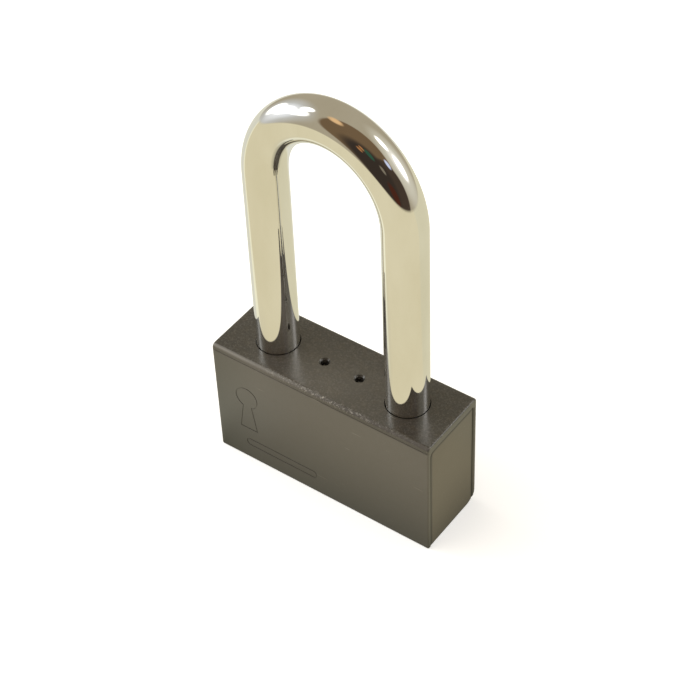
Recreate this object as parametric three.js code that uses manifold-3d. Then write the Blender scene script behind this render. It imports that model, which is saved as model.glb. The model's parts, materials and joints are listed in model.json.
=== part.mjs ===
// Long-shackle padlock: a steel sleeve over a solid lock block, an 11 mm shackle held by two
// steel balls, and a key cylinder with five sprung pin stacks that turns the cam between the balls.
// Millimetres, +Z up. X runs along the case, the front is -Y, and the case stands on z = 0.
// The padlock is closed and unlocked: the plug stands at the angle where the balls are drawn in.

import * as THREE from 'three';
import { mergeVertices } from 'three/addons/utils/BufferGeometryUtils.js';
import Module from 'manifold-3d';

const wasm = await Module();
wasm.setup();

// ---------------------------------------------------------------- driving dimensions

const gap = 0.3; // clearance between pieces that lie against each other
const springEndGap = 0.05; // between a spring's end and what it pushes on
const past = 1; // how far a cutting shape reaches beyond the face it cuts

// Sides of the round shapes, from the largest bores down to the smallest pins
const boreSides = 32;
const barSides = 24;
const holeSides = 20;
const headSides = 16;
const sleevePinSides = 14;
const pinSides = 12;
const wireSides = 6;

// Case
const caseWidth = 65;
const caseDepth = 21;
const caseHeight = 36;
const sleeveSide = 1.2; // front and back walls of the sleeve
const sleeveTop = 2.35; // its top wall
const frontTopEdge = 1.2; // radius of the long edge between front and top
const backTopEdge = 1.0;
const frontBottomEdge = 0.4;
const backBottomEdge = 3.5; // this rounding runs through the sleeve wall and the block
const innerBevel = 1.2; // bevel inside the sleeve's front top corner
const innerRadius = 0.7; // radius inside its back top corner
const blockInset = 0.2; // the block ends this far inside the sleeve's ends

// Shackle
const shackleDiameter = 11;
const legSpacing = 39;
const shackleTop = 117.4;
const crownRise = 21.65; // height of the crown's centreline above the straight legs
const toeBottom = 22.5;
const heelBottom = 3.5;
const flangeHeight = 1.5; // full-diameter end of the heel leg, below its neck
const neckRadius = 3.5;
const neckTop = 22.0;
const heelBoreSpare = 1.3; // room below each leg's end when the padlock is closed
const toeBoreSpare = 0.7;
const springHoleRadius = 2.2;
const springHoleTop = 19;
const springWire = 0.25; // radius of the wire
const springCoil = 1.6; // radius of the coil's centreline

// Locking balls and cam
const ballRadius = 4;
const ballHeight = 27.6;
const ballTravel = 2.0;
const ballLocked = 11.8; // distance of a ball's centre from the middle when it is in its pocket
const ballClearance = 0.2; // of the cross bore and of the leg's pocket around the ball
const camClearance = 0.15; // between the cam and a ball
const camBottom = 25.0;
const camTop = 30.2;
const cavityRadius = 7.9; // upright bore for the cylinder and the cam
const cavityTop = 31.9;

// Key cylinder
const plugRadius = 5.4;
const plugBottom = 0.3;
const plugTop = 24.2;
const plugHeadRadius = 6.4;
const plugHeadTop = 1.2;
const housingRadius = 7.6;
const housingBore = 5.6;
const housingBottom = 1.5;
const housingTop = 22.6;
const lobeReach = 13.0; // the housing's lobe holds the outer half of the pin stacks
const lobeHalfWidth = 2.6;
const lobeTop = 21.2;
const keywayWidth = 2.7;
const keywayLength = 8.4;
const keywayTop = 20.8;
const stackCount = 5;
const firstStack = 4.6;
const stackPitch = 3.6;
const pinRadius = 1.25;
const chamberRadius = 1.45;
const shearGap = 0.1; // the pins stop this short of the plug's surface and of the housing's bore
const driverLength = 3.0;
const capThickness = 0.8;
const tailWidth = 1.6;
const tailLength = 7.0;
const tailBottom = 22.3;
const tailTop = 27.0;
const clipGrooveBottom = 22.75;
const clipGrooveTop = 23.55;
const clipGrooveRadius = 4.5;

// Fastenings
const sleevePinSpacing = 10.5;
const sleevePinHole = 1.05;
const sleevePinGap = 0.2;
const sleevePinRecess = 1.4; // the pins' tops lie this far below the case's top
const sleevePinSink = 1.45; // radius of the countersink at the case's top
const retainingPinRadius = 1.25;
const retainingPinHeight = 20.5;
const retainingPinOffset = 14.65; // from the middle to the pin's axis
const plateLength = 31;
const plateWidth = 15.4;
const plateThickness = 1.2;
const plateSeat = 1.4; // depth of the recess that it lies in
const screwPlaces = [
  ['bottom_screw_left', -10.9, 4.6],
  ['bottom_screw_right', 10.9, -4.6],
];
const screwRadius = 0.9;
const screwHeadRadius = 1.9;
const screwTop = 7;

// Worked out from the above
const legX = legSpacing / 2;
const legRadius = shackleDiameter / 2;
const legBore = legRadius + gap;
const legEnd = shackleTop - legRadius - crownRise; // where the straight legs meet the crown
const blockDepth = caseDepth - 2 * sleeveSide - 2 * gap;
const blockTop = caseHeight - sleeveTop - gap;
const ballUnlocked = ballLocked - ballTravel;
const flangeTop = heelBottom + flangeHeight;
const heelBoreFloor = heelBottom - heelBoreSpare;
const toeBoreFloor = toeBottom - toeBoreSpare;
const ballBore = ballRadius + ballClearance;

// ---------------------------------------------------------------- finishes

function finish(color, roughness, metalness) {
  return new THREE.MeshStandardMaterial({ color, roughness, metalness });
}

const blackCoat = finish(0x3b3732, 0.42, 0.35);
const blackSteel = finish(0x45413a, 0.45, 0.45);
const chrome = finish(0xd8d5c8, 0.08, 1.0);
const hardSteel = finish(0xb9bcc0, 0.2, 1.0);
const brass = finish(0xc2a35a, 0.3, 1.0);
const nickelSilver = finish(0xc9c4b4, 0.28, 1.0);
const springSteel = finish(0x9a9da1, 0.3, 1.0);
const zincSteel = finish(0x8f9194, 0.4, 0.9);

// ---------------------------------------------------------------- solids from three.js geometry

function toSolid(geometry) {
  const shell = geometry.clone();
  shell.deleteAttribute('normal');
  shell.deleteAttribute('uv');
  const merged = mergeVertices(shell, 1e-5);
  return new wasm.Manifold(new wasm.Mesh({
    numProp: 3,
    vertProperties: new Float32Array(merged.attributes.position.array),
    triVerts: new Uint32Array(merged.index.array),
  }));
}

function toGeometry(solid) {
  const mesh = solid.getMesh();
  const geometry = new THREE.BufferGeometry();
  geometry.setAttribute('position', new THREE.BufferAttribute(mesh.vertProperties, 3));
  geometry.setIndex(new THREE.BufferAttribute(mesh.triVerts, 1));
  geometry.computeVertexNormals();
  return geometry;
}

// A named piece of the padlock. Its solid is in the padlock's frame unless a place is given.
function piece(name, solid, material, place = [0, 0, 0]) {
  const mesh = new THREE.Mesh(toGeometry(solid), material);
  mesh.name = name;
  mesh.position.set(...place);
  return mesh;
}

// An upright round bar from z0 to z1 on the axis (x, y).
function roundBar(radius, z0, z1, x = 0, y = 0, sides = barSides) {
  const bar = new THREE.CylinderGeometry(radius, radius, z1 - z0, sides);
  bar.rotateX(Math.PI / 2);
  bar.translate(x, y, (z0 + z1) / 2);
  return toSolid(bar);
}

// A round bar along X from x0 to x1 at height z.
function barAlongX(radius, x0, x1, z, sides = barSides) {
  const bar = new THREE.CylinderGeometry(radius, radius, x1 - x0, sides);
  bar.rotateZ(Math.PI / 2);
  bar.translate((x0 + x1) / 2, 0, z);
  return toSolid(bar);
}

// A round bar along Y, as long as 2 * reach, on the axis (x, z).
function barAlongY(radius, reach, x, z, sides = headSides) {
  const bar = new THREE.CylinderGeometry(radius, radius, 2 * reach, sides);
  bar.translate(x, 0, z);
  return toSolid(bar);
}

function block(x0, x1, halfWidth, z0, z1) {
  const cuboid = new THREE.BoxGeometry(x1 - x0, 2 * halfWidth, z1 - z0);
  cuboid.translate((x0 + x1) / 2, 0, (z0 + z1) / 2);
  return toSolid(cuboid);
}

function ball(radius, x, z) {
  const around = 18;
  const fromPoleToPole = 12;
  const sphere = new THREE.SphereGeometry(radius, around, fromPoleToPole);
  sphere.translate(x, 0, z);
  return toSolid(sphere);
}

// A body of revolution about Z from [radius, height] pairs that start and end on the axis.
function turned(profile, sides = barSides) {
  const points = profile.map(([radius, height]) => new THREE.Vector2(radius, height));
  const lathe = new THREE.LatheGeometry(points, sides);
  lathe.rotateX(Math.PI / 2);
  return toSolid(lathe);
}

// A (Y, Z) outline carried along X, the same length to both sides of the middle.
function carriedAlongX(outline, length) {
  const options = { depth: length, bevelEnabled: false, curveSegments: 5 };
  const bar = new THREE.ExtrudeGeometry(outline, options);
  bar.translate(0, 0, -length / 2);
  const yAxis = new THREE.Vector3(0, 1, 0);
  const zAxis = new THREE.Vector3(0, 0, 1);
  const xAxis = new THREE.Vector3(1, 0, 0);
  bar.applyMatrix4(new THREE.Matrix4().makeBasis(yAxis, zAxis, xAxis));
  return toSolid(bar);
}

// A round wire or rod along a curve. A full circle has two sides for each curve segment.
function rodAlong(curve, radius, sides, steps) {
  const section = new THREE.Shape();
  section.absarc(0, 0, radius, 0, 2 * Math.PI, false);
  const options = { steps, extrudePath: curve, bevelEnabled: false, curveSegments: sides / 2 };
  return toSolid(new THREE.ExtrudeGeometry(section, options));
}

// ---------------------------------------------------------------- curves

// The shackle's centreline: one step up the heel leg, the crown, and one step down the toe leg.
// Its parameter isn't stretched to arc length, so both legs stay single steps.
class ShackleLine extends THREE.Curve {
  constructor(crownSteps) {
    super();
    this.steps = crownSteps + 2;
  }

  getUtoTmapping(u) {
    return u;
  }

  getPoint(t, target = new THREE.Vector3()) {
    const step = t * this.steps;
    if (step < 1) {
      return target.set(-legX, 0, THREE.MathUtils.lerp(heelBottom, legEnd, step));
    }
    if (step > this.steps - 1) {
      return target.set(legX, 0, THREE.MathUtils.lerp(toeBottom, legEnd, this.steps - step));
    }
    const angle = Math.PI * (1 - (step - 1) / (this.steps - 2));
    return target.set(legX * Math.cos(angle), 0, legEnd + crownRise * Math.sin(angle));
  }
}

class Helix extends THREE.Curve {
  constructor(radius, height, turns) {
    super();
    this.radius = radius;
    this.height = height;
    this.turns = turns;
  }

  getPoint(t, target = new THREE.Vector3()) {
    const angle = 2 * Math.PI * this.turns * t;
    return target.set(this.radius * Math.cos(angle), this.radius * Math.sin(angle), this.height * t);
  }
}

// ---------------------------------------------------------------- case

// The sleeve's channel section: front wall, top and back wall, open at the bottom.
function sleeveOutline() {
  const outer = caseDepth / 2;
  const inner = outer - sleeveSide;
  const underside = caseHeight - sleeveTop;
  const roundingY = outer - backBottomEdge;
  const cutAngle = -Math.acos((inner - roundingY) / backBottomEdge);
  const outline = new THREE.Shape();
  outline.moveTo(-inner, 0);
  outline.lineTo(-outer + frontBottomEdge, 0);
  const lowFront = -outer + frontBottomEdge;
  const highFront = -outer + frontTopEdge;
  const highBack = outer - backTopEdge;
  outline.absarc(lowFront, frontBottomEdge, frontBottomEdge, -Math.PI / 2, -Math.PI, true);
  outline.absarc(highFront, caseHeight - frontTopEdge, frontTopEdge, Math.PI, Math.PI / 2, true);
  outline.absarc(highBack, caseHeight - backTopEdge, backTopEdge, Math.PI / 2, 0, true);
  outline.absarc(roundingY, backBottomEdge, backBottomEdge, 0, cutAngle, true);
  outline.absarc(inner - innerRadius, underside - innerRadius, innerRadius, 0, Math.PI / 2, false);
  outline.lineTo(-inner + innerBevel, underside);
  outline.lineTo(-inner, underside - innerBevel);
  outline.closePath();
  return outline;
}

// The lock block's section, which fills the channel and shares its rounded back bottom edge.
function blockOutline() {
  const side = blockDepth / 2;
  const roundingY = caseDepth / 2 - backBottomEdge;
  const meetAngle = -Math.acos((side - roundingY) / backBottomEdge);
  const outline = new THREE.Shape();
  outline.moveTo(-side, 0);
  outline.lineTo(-side, blockTop - innerBevel);
  outline.lineTo(-side + innerBevel, blockTop);
  outline.absarc(side - innerRadius, blockTop - innerRadius, innerRadius, Math.PI / 2, 0, true);
  outline.absarc(roundingY, backBottomEdge, backBottomEdge, meetAngle, -Math.PI / 2, true);
  outline.closePath();
  return outline;
}

const bothSides = [-1, 1];
const sleevePinX = (side) => side * sleevePinSpacing / 2;

function caseSleeve() {
  let sleeve = carriedAlongX(sleeveOutline(), caseWidth);
  const sinkDepth = sleevePinSink - sleevePinHole;
  const sink = turned([
    [0, -sinkDepth],
    [sleevePinHole, -sinkDepth],
    [sleevePinSink + gap, gap],
    [0, gap],
  ], holeSides);
  const above = caseHeight + past;
  for (const side of bothSides) {
    const pinX = sleevePinX(side);
    sleeve = sleeve.subtract(roundBar(legBore, blockTop, above, side * legX, 0, boreSides));
    sleeve = sleeve.subtract(roundBar(sleevePinHole, blockTop, above, pinX, 0, holeSides));
    sleeve = sleeve.subtract(sink.translate([pinX, 0, caseHeight]));
  }
  return piece('case_sleeve', sleeve, blackCoat);
}

function lockBlock() {
  const above = caseHeight;
  const below = -past;
  const seatHalfLength = plateLength / 2 + gap;
  let body = carriedAlongX(blockOutline(), caseWidth - 2 * blockInset);
  const cuts = [
    roundBar(legBore, heelBoreFloor, above, -legX, 0, boreSides),
    roundBar(legBore, toeBoreFloor, above, legX, 0, boreSides),
    roundBar(cavityRadius, plateSeat / 2, cavityTop, 0, 0, boreSides),
    barAlongX(ballBore, -legX, legX, ballHeight),
    block(0, lobeReach + gap, lobeHalfWidth + gap, plateSeat / 2, lobeTop + gap),
    block(-seatHalfLength, seatHalfLength, plateWidth / 2 + gap, below, plateSeat),
    barAlongY(retainingPinRadius + gap / 2, caseDepth, -retainingPinOffset, retainingPinHeight),
  ];
  for (const [, x, y] of screwPlaces) {
    cuts.push(roundBar(screwRadius + gap, below, screwTop + gap, x, y, pinSides));
  }
  for (const side of bothSides) {
    cuts.push(roundBar(sleevePinHole, ballHeight, above, sleevePinX(side), 0, holeSides));
  }
  for (const cut of cuts) {
    body = body.subtract(cut);
  }
  return piece('lock_block', body, blackSteel);
}

function sleevePin(name, side) {
  const radius = sleevePinHole - sleevePinGap;
  const dome = 0.3;
  const bottom = cavityTop + sleevePinGap;
  const top = caseHeight - sleevePinRecess;
  const pin = turned([
    [0, bottom],
    [radius - dome, bottom],
    [radius, bottom + dome],
    [radius, top - dome],
    [radius - dome, top],
    [0, top],
  ], sleevePinSides);
  return piece(name, pin, zincSteel, [sleevePinX(side), 0, 0]);
}

// The plate's back edge is rounded off together with the block's.
function bottomPlate() {
  let plate = block(-plateLength / 2, plateLength / 2, plateWidth / 2, 0, plateThickness);
  plate = plate.intersect(carriedAlongX(blockOutline(), caseWidth));
  const above = plateThickness + past;
  plate = plate.subtract(roundBar(plugHeadRadius + gap, -past, above, 0, 0, boreSides));
  for (const [, x, y] of screwPlaces) {
    const seat = turned([
      [0, -gap],
      [screwHeadRadius + 2 * gap, -gap],
      [screwRadius + gap, screwHeadRadius - screwRadius],
      [screwRadius + gap, plateThickness + gap],
      [0, plateThickness + gap],
    ], headSides);
    plate = plate.subtract(seat.translate([x, y, 0]));
  }
  return piece('bottom_plate', plate, blackSteel);
}

function countersunkScrew(name, x, y) {
  const headBottom = 0.15;
  const rim = 0.1;
  const headTop = headBottom + rim + screwHeadRadius - screwRadius;
  const point = 0.4;
  const socketRadius = 0.75;
  const socketDepth = 0.8;
  let screw = turned([
    [0, headBottom],
    [screwHeadRadius, headBottom],
    [screwHeadRadius, headBottom + rim],
    [screwRadius, headTop],
    [screwRadius, screwTop - point],
    [screwRadius - point, screwTop],
    [0, screwTop],
  ], headSides);
  const socketSides = 6;
  screw = screw.subtract(roundBar(socketRadius, -past, headBottom + socketDepth, 0, 0, socketSides));
  return piece(name, screw, zincSteel, [x, y, 0]);
}

// ---------------------------------------------------------------- shackle

function shackle() {
  const crownSteps = 24;
  let rod = rodAlong(new ShackleLine(crownSteps), legRadius, barSides, crownSteps + 2);
  const neckCutter = roundBar(legRadius + past, flangeTop, neckTop, -legX)
    .subtract(roundBar(neckRadius, flangeTop - past, neckTop + past, -legX));
  rod = rod.subtract(neckCutter);
  rod = rod.subtract(roundBar(springHoleRadius, heelBottom - past, springHoleTop, -legX, 0, headSides));
  for (const side of bothSides) {
    rod = rod.subtract(ball(ballBore, side * ballLocked, ballHeight));
  }
  return piece('shackle', rod, chrome);
}

function shackleSpring() {
  const turns = 7;
  const stepsPerTurn = 9;
  const bottom = heelBoreFloor + springWire + springEndGap;
  const height = springHoleTop - springWire - springEndGap - bottom;
  const line = new Helix(springCoil, height, turns);
  const coil = rodAlong(line, springWire, wireSides, stepsPerTurn * turns);
  return piece('shackle_spring', coil, springSteel, [-legX, 0, bottom]);
}

function retainingPin() {
  const reach = blockDepth / 2 - gap;
  const pin = barAlongY(retainingPinRadius, reach, -retainingPinOffset, retainingPinHeight);
  return piece('shackle_retaining_pin', pin, hardSteel);
}

// ---------------------------------------------------------------- ball lock

function lockingBall(name, side) {
  return piece(name, ball(ballRadius, 0, 0), hardSteel, [side * ballUnlocked, 0, ballHeight]);
}

// Two equal lobes whose radius rises evenly over a quarter turn, so a ball moves in step with
// the plug. The low points face the balls.
function ballCam() {
  const lowRadius = ballUnlocked - ballRadius - camClearance;
  const points = 64;
  const rim = [];
  for (let i = 0; i < points; i += 1) {
    const angle = 2 * Math.PI * i / points;
    const quarters = (4 * i / points) % 2;
    const radius = lowRadius + ballTravel * (1 - Math.abs(1 - quarters));
    rim.push(new THREE.Vector2(radius * Math.cos(angle), radius * Math.sin(angle)));
  }
  const options = { depth: camTop - camBottom, bevelEnabled: false };
  const disc = new THREE.ExtrudeGeometry(new THREE.Shape(rim), options);
  disc.translate(0, 0, camBottom);
  const slot = tailSlot(camBottom - past, tailTop + gap);
  return piece('ball_cam', toSolid(disc).subtract(slot), hardSteel);
}

// Room for the tailpiece's blade, cut into the plug and the cam.
function tailSlot(z0, z1) {
  const halfWidth = tailWidth / 2 + gap;
  return block(-halfWidth, halfWidth, tailLength / 2 + gap, z0, z1);
}

function tailpiece() {
  const blade = block(-tailWidth / 2, tailWidth / 2, tailLength / 2, tailBottom, tailTop);
  return piece('tailpiece', blade, hardSteel);
}

// ---------------------------------------------------------------- key cylinder

const stackHeight = (index) => firstStack + index * stackPitch;

// The hole for one pin stack, from the plug's axis out to reach.
function chamber(index, reach) {
  return barAlongX(chamberRadius, 0, reach, stackHeight(index), headSides);
}

function plug() {
  let body = turned([
    [0, plugBottom],
    [plugHeadRadius, plugBottom],
    [plugHeadRadius, plugHeadTop],
    [plugRadius, plugHeadTop],
    [plugRadius, clipGrooveBottom],
    [clipGrooveRadius, clipGrooveBottom],
    [clipGrooveRadius, clipGrooveTop],
    [plugRadius, clipGrooveTop],
    [plugRadius, plugTop],
    [0, plugTop],
  ], boreSides);
  body = body.subtract(block(-keywayWidth / 2, keywayWidth / 2, keywayLength / 2, -past, keywayTop));
  body = body.subtract(tailSlot(tailBottom - gap, plugTop + past));
  for (let i = 0; i < stackCount; i += 1) {
    body = body.subtract(chamber(i, plugRadius + past));
  }
  return piece('plug', body, nickelSilver);
}

// An open spring ring in the plug's groove, which keeps the plug from being pulled out.
function plugCirclip() {
  const ringOuter = 6.6;
  const ringInner = clipGrooveRadius + shearGap;
  const opening = Math.PI / 6; // half of the angle left open
  const thickness = 0.5;
  const outline = new THREE.Shape();
  outline.absarc(0, 0, ringOuter, opening, 2 * Math.PI - opening, false);
  outline.absarc(0, 0, ringInner, 2 * Math.PI - opening, opening, true);
  outline.closePath();
  const options = { depth: thickness, bevelEnabled: false, curveSegments: 12 };
  const ring = new THREE.ExtrudeGeometry(outline, options);
  ring.translate(0, 0, (clipGrooveBottom + clipGrooveTop - thickness) / 2);
  return piece('plug_circlip', toSolid(ring), springSteel);
}

function cylinderHousing() {
  let body = roundBar(housingRadius, housingBottom, housingTop, 0, 0, boreSides);
  body = body.add(block(0, lobeReach, lobeHalfWidth, housingBottom, lobeTop));
  body = body.subtract(roundBar(housingBore, 0, plugTop, 0, 0, boreSides));
  for (let i = 0; i < stackCount; i += 1) {
    body = body.subtract(chamber(i, lobeReach + past));
  }
  return piece('cylinder_housing', body, brass);
}

// One pin stack on the plug's radius towards +X: key pin, driver pin, spring and cap.
// In its group, local z is the distance from the plug's axis.
function pinStack(index) {
  const number = index + 1;
  const keyPinInner = keywayWidth / 2 + shearGap / 2;
  const keyPinOuter = plugRadius - shearGap;
  const driverInner = housingBore + shearGap;
  const driverOuter = driverInner + driverLength;
  const capOuter = lobeReach - shearGap;
  const capInner = capOuter - capThickness;
  const tipRadius = 0.5;
  const tipLength = 0.75;
  const bevel = 0.25;
  const wire = 0.2;
  const coilRadius = 0.9;
  const turns = 3.5;
  const stepsPerTurn = 8;
  const keyPin = turned([
    [0, keyPinInner],
    [tipRadius, keyPinInner],
    [pinRadius, keyPinInner + tipLength],
    [pinRadius, keyPinOuter - bevel],
    [pinRadius - bevel, keyPinOuter],
    [0, keyPinOuter],
  ], pinSides);
  const driverPin = turned([
    [0, driverInner],
    [pinRadius - bevel, driverInner],
    [pinRadius, driverInner + bevel],
    [pinRadius, driverOuter],
    [0, driverOuter],
  ], pinSides);
  const cap = turned([
    [0, capInner],
    [pinRadius, capInner],
    [pinRadius, capOuter],
    [0, capOuter],
  ], pinSides);
  const springInner = driverOuter + wire + springEndGap;
  const springLength = capInner - wire - springEndGap - springInner;
  const line = new Helix(coilRadius, springLength, turns);
  const spring = rodAlong(line, wire, wireSides, stepsPerTurn * turns);
  const stack = new THREE.Group();
  stack.position.z = stackHeight(index);
  stack.rotation.y = Math.PI / 2;
  stack.add(piece(`key_pin_${number}`, keyPin, brass));
  stack.add(piece(`driver_pin_${number}`, driverPin, nickelSilver));
  stack.add(piece(`pin_spring_${number}`, spring, springSteel, [0, 0, springInner]));
  stack.add(piece(`chamber_cap_${number}`, cap, brass));
  return stack;
}

// ---------------------------------------------------------------- assembly

const shackleGroup = new THREE.Group();
shackleGroup.add(shackle());

const ballLock = new THREE.Group();
ballLock.add(lockingBall('locking_ball_left', -1), lockingBall('locking_ball_right', 1));
ballLock.add(ballCam(), tailpiece());

const cylinder = new THREE.Group();
cylinder.add(cylinderHousing(), plug(), plugCirclip());
for (let i = 0; i < stackCount; i += 1) {
  cylinder.add(pinStack(i));
}

const lockCase = new THREE.Group();
lockCase.add(caseSleeve(), lockBlock(), bottomPlate());
lockCase.add(sleevePin('sleeve_pin_left', -1), sleevePin('sleeve_pin_right', 1));
lockCase.add(retainingPin(), shackleSpring());
for (const [name, x, y] of screwPlaces) {
  lockCase.add(countersunkScrew(name, x, y));
}

const padlock = new THREE.Group();
padlock.add(lockCase, shackleGroup, ballLock, cylinder);

export default padlock;
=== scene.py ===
"""Looks of the long-shackle padlock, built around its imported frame.

Every mesh is drawn in millimetres in the padlock's own frame, then scaled to metres when it
becomes a piece. The case runs along X, its front is -Y, and it stands on z = 0.
"""

import json
import math
import bmesh
import bpy
from mathutils import Matrix, Vector


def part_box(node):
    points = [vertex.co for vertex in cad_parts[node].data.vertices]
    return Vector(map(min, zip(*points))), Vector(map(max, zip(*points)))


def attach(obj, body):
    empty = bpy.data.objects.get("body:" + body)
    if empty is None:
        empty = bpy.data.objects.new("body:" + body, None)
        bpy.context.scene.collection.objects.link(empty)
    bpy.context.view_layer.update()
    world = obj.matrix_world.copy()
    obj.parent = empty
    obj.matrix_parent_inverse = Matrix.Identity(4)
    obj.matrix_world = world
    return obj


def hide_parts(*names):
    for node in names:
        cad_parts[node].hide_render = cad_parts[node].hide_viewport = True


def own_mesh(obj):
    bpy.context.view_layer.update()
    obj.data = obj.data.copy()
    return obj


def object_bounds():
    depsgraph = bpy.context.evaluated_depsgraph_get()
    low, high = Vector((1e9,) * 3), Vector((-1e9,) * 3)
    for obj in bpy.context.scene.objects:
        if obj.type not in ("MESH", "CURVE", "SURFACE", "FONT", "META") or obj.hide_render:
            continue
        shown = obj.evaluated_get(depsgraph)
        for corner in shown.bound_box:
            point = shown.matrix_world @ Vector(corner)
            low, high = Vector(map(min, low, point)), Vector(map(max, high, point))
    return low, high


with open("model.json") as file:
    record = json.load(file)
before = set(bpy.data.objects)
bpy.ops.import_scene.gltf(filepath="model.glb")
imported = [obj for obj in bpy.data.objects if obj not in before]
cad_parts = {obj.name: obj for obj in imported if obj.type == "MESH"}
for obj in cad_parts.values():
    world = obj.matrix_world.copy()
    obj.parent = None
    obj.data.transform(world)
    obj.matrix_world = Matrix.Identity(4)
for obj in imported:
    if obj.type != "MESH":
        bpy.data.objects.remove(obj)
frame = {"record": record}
cad_low, cad_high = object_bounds()

METRES = 0.001  # one millimetre
BOTH_SIDES = (-1, 1)
X_AXIS = Vector((1, 0, 0))
Y_AXIS = Vector((0, 1, 0))
Z_AXIS = Vector((0, 0, 1))
PAST = 1.0  # how far a cutter reaches beyond the face it cuts
SAME_PLACE = 1e-5  # points nearer than this are merged after a cut

record = frame["record"]
body_of = {node: body for body, nodes in record["behaviour"]["bodies"].items() for node in nodes}
slot_of = {part["node"]: part["material_slot"] for part in record["subparts"]}


def box_mm(node):
    """A CAD node's lowest and highest corners at rest, in millimetres."""
    low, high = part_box(node)
    return low / METRES, high / METRES


def box_and_middle(node):
    low, high = box_mm(node)
    return low, high, (low + high) / 2


# ------------------------------------------------------------------ sizes, most from the frame

sleeve_high = box_mm("case_sleeve")[1]
block_low, block_high = box_mm("lock_block")
shackle_low, shackle_high = box_mm("shackle")
plate_low, plate_high = box_mm("bottom_plate")
plug_low, plug_high = box_mm("plug")
housing_low, housing_high = box_mm("cylinder_housing")
tail_low, tail_high = box_mm("tailpiece")
clip_low, clip_high = box_mm("plug_circlip")
cam_low, cam_high = box_mm("ball_cam")

# Case
SIDE_WALL = 1.2
TOP_WALL = 2.35
FRONT_BOTTOM_EDGE = 0.4
BACK_BOTTOM_EDGE = 3.5
BACK_TOP_EDGE = 1.0
FRONT_TOP_EDGE = 1.2
INNER_BEVEL = 1.2
INNER_RADIUS = 0.7
CASE_INNER = sleeve_high.y - SIDE_WALL
CASE_UNDERSIDE = sleeve_high.z - TOP_WALL
SEAM = 0.1  # between the sleeve and the block
SEAM_FLARE = 0.3  # how far the sleeve opens at its ends
SLEEVE_END_EDGE = 0.45
BLOCK_END_EDGE = 0.35
GAP = 0.3  # clearance between pieces that lie against each other
EDGE_FLARE = 0.1  # small chamfer at the mouth of each hole
KEYHOLE_PLACE = (-22.6, 18.6)  # (x, z) of the two marks engraved in the front
LABEL_PLACE = (-12.6, 6.2)

# Shackle
LEG_RADIUS = shackle_high.y
LEG_X = shackle_high.x - LEG_RADIUS
LEG_CLEARANCE = 0.12
BORE_RADIUS = LEG_RADIUS + LEG_CLEARANCE
BORE_SIDES = 96
SHACKLE_SIDES = 96
CROWN_RISE = 21.65
LEG_END = shackle_high.z - LEG_RADIUS - CROWN_RISE
HEEL_BOTTOM = shackle_low.z
HEEL_SPARE = 1.3  # room below each leg's end when the padlock is closed
HEEL_BORE_FLOOR = HEEL_BOTTOM - HEEL_SPARE
TOE_BOTTOM = 22.5
TOE_SPARE = 0.7
TOE_BORE_FLOOR = TOE_BOTTOM - TOE_SPARE
FLANGE_HEIGHT = 1.5
FLANGE_TOP = HEEL_BOTTOM + FLANGE_HEIGHT
NECK_TOP = 22.0
NECK_RADIUS = 3.5
SPRING_HOLE_RADIUS = 2.2
SPRING_HOLE_TOP = 19.0

# Ball lock
BALL_RADIUS = 3.98  # just inside the CAD's 4 mm ball
BALL_HEIGHT = 27.6
POCKET_X = 11.8
POCKET_RADIUS = 4.2
CAM_RISE = 2.0
CAVITY_RADIUS = 7.9  # upright bore for the cylinder and the cam
CAVITY_FLOOR = 0.7
CAVITY_TOP = 31.9

# Key cylinder
PLUG_RADIUS = 5.4
HEAD_TOP = 1.2
CLIP_GROOVE_RADIUS = 4.5
CLIP_GROOVE_LOW = 22.75
CLIP_GROOVE_HIGH = 23.55
KEYWAY_HALF_WIDTH = 1.35
KEYWAY_HALF_LENGTH = 4.2
KEYWAY_TOP = 20.8
HOUSING_BORE = 5.6
HOUSING_RADIUS = housing_high.y
LOBE_HALF_WIDTH = 2.6
LOBE_EDGE = 0.6
LOBE_TOP = 21.2
CHAMBER_RADIUS = 1.45
STACKS = range(1, 6)

# Fastenings
SLEEVE_PIN_X = 5.25
SLEEVE_PIN_HOLE = 1.05
SLEEVE_PIN_SINK = 0.4
RETAINING_PIN_BORE = 1.4
PLATE_SEAT_DEPTH = 1.4
PLATE_SEAT_CORNER = 1.2
PLATE_CORNER = 1.0
SCREW_RADIUS = 0.9
SCREWS = ("bottom_screw_left", "bottom_screw_right")
PIN_SIDES = 40  # of the small turned pieces and their holes


# ------------------------------------------------------------------ mesh helpers

def loft(rings):
    """A closed bmesh through rings of points, each a list of the same length or a single pole."""
    bm = bmesh.new()
    rows = [[bm.verts.new(point) for point in ring] for ring in rings]
    for lower, upper in zip(rows, rows[1:]):
        count = max(len(lower), len(upper))
        for i in range(count):
            j = (i + 1) % count
            if len(lower) == 1:
                bm.faces.new((lower[0], upper[j], upper[i]))
            elif len(upper) == 1:
                bm.faces.new((lower[i], lower[j], upper[0]))
            else:
                bm.faces.new((lower[i], lower[j], upper[j], upper[i]))
    for end in (rows[0], rows[-1]):
        if len(end) > 1:
            bm.faces.new(end)
    bmesh.ops.recalc_face_normals(bm, faces=bm.faces)
    return bm


def two_across(axis):
    """Two unit vectors that make a right-handed set with an axis."""
    across = Y_AXIS if abs(axis.x) > abs(axis.z) else X_AXIS
    across = (across - axis * across.dot(axis)).normalized()
    return across, axis.cross(across)


def circle(centre, across, along, radius, count):
    """A ring of points in the plane of two unit vectors. A radius of zero gives a single pole."""
    if radius <= 0:
        return [Vector(centre)]
    turns = [2 * math.pi * i / count for i in range(count)]
    return [Vector(centre) + radius * (math.cos(a) * across + math.sin(a) * along) for a in turns]


def turned(profile, count, place=(0, 0, 0), axis=Z_AXIS):
    """A body of revolution from (radius, height) pairs along an axis from place."""
    across, along = two_across(axis)
    origin = Vector(place)
    return loft([circle(origin + axis * h, across, along, radius, count) for radius, h in profile])


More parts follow.
